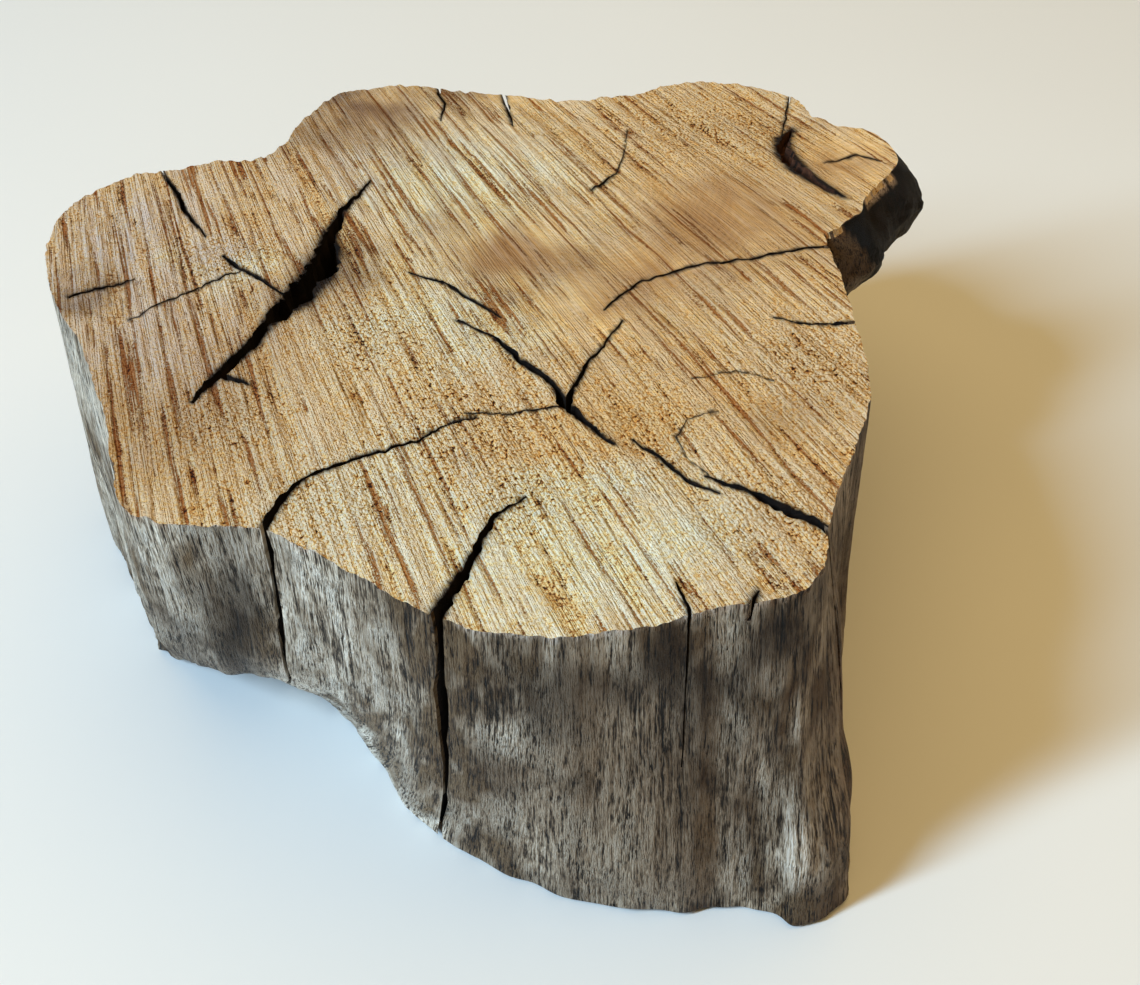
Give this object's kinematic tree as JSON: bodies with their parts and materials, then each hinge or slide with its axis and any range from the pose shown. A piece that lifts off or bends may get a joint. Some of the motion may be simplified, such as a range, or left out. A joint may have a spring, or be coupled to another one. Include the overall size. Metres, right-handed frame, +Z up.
{
  "type": "maple wood log",
  "caption": "Short barkless maple log cut across several grown-together stems, with a rough chainsawn top, drying cracks, a bark pocket, a side branch stub and a flat base.",
  "frame": {"origin": "on the surface the log stands on, under the middle of its bounding box", "axes": "+Z up along the stems to the sawn face, +X to the right towards the branch stub, +Y back away from the wide front crack"},
  "size_m": [0.3158, 0.3002, 0.129],
  "materials": {
    "maple": "chainsawn end grain on top, weathered barkless grey sides"
  },
  "bodies": {
    "root": {"log": "maple"}
  },
  "joints": []
}
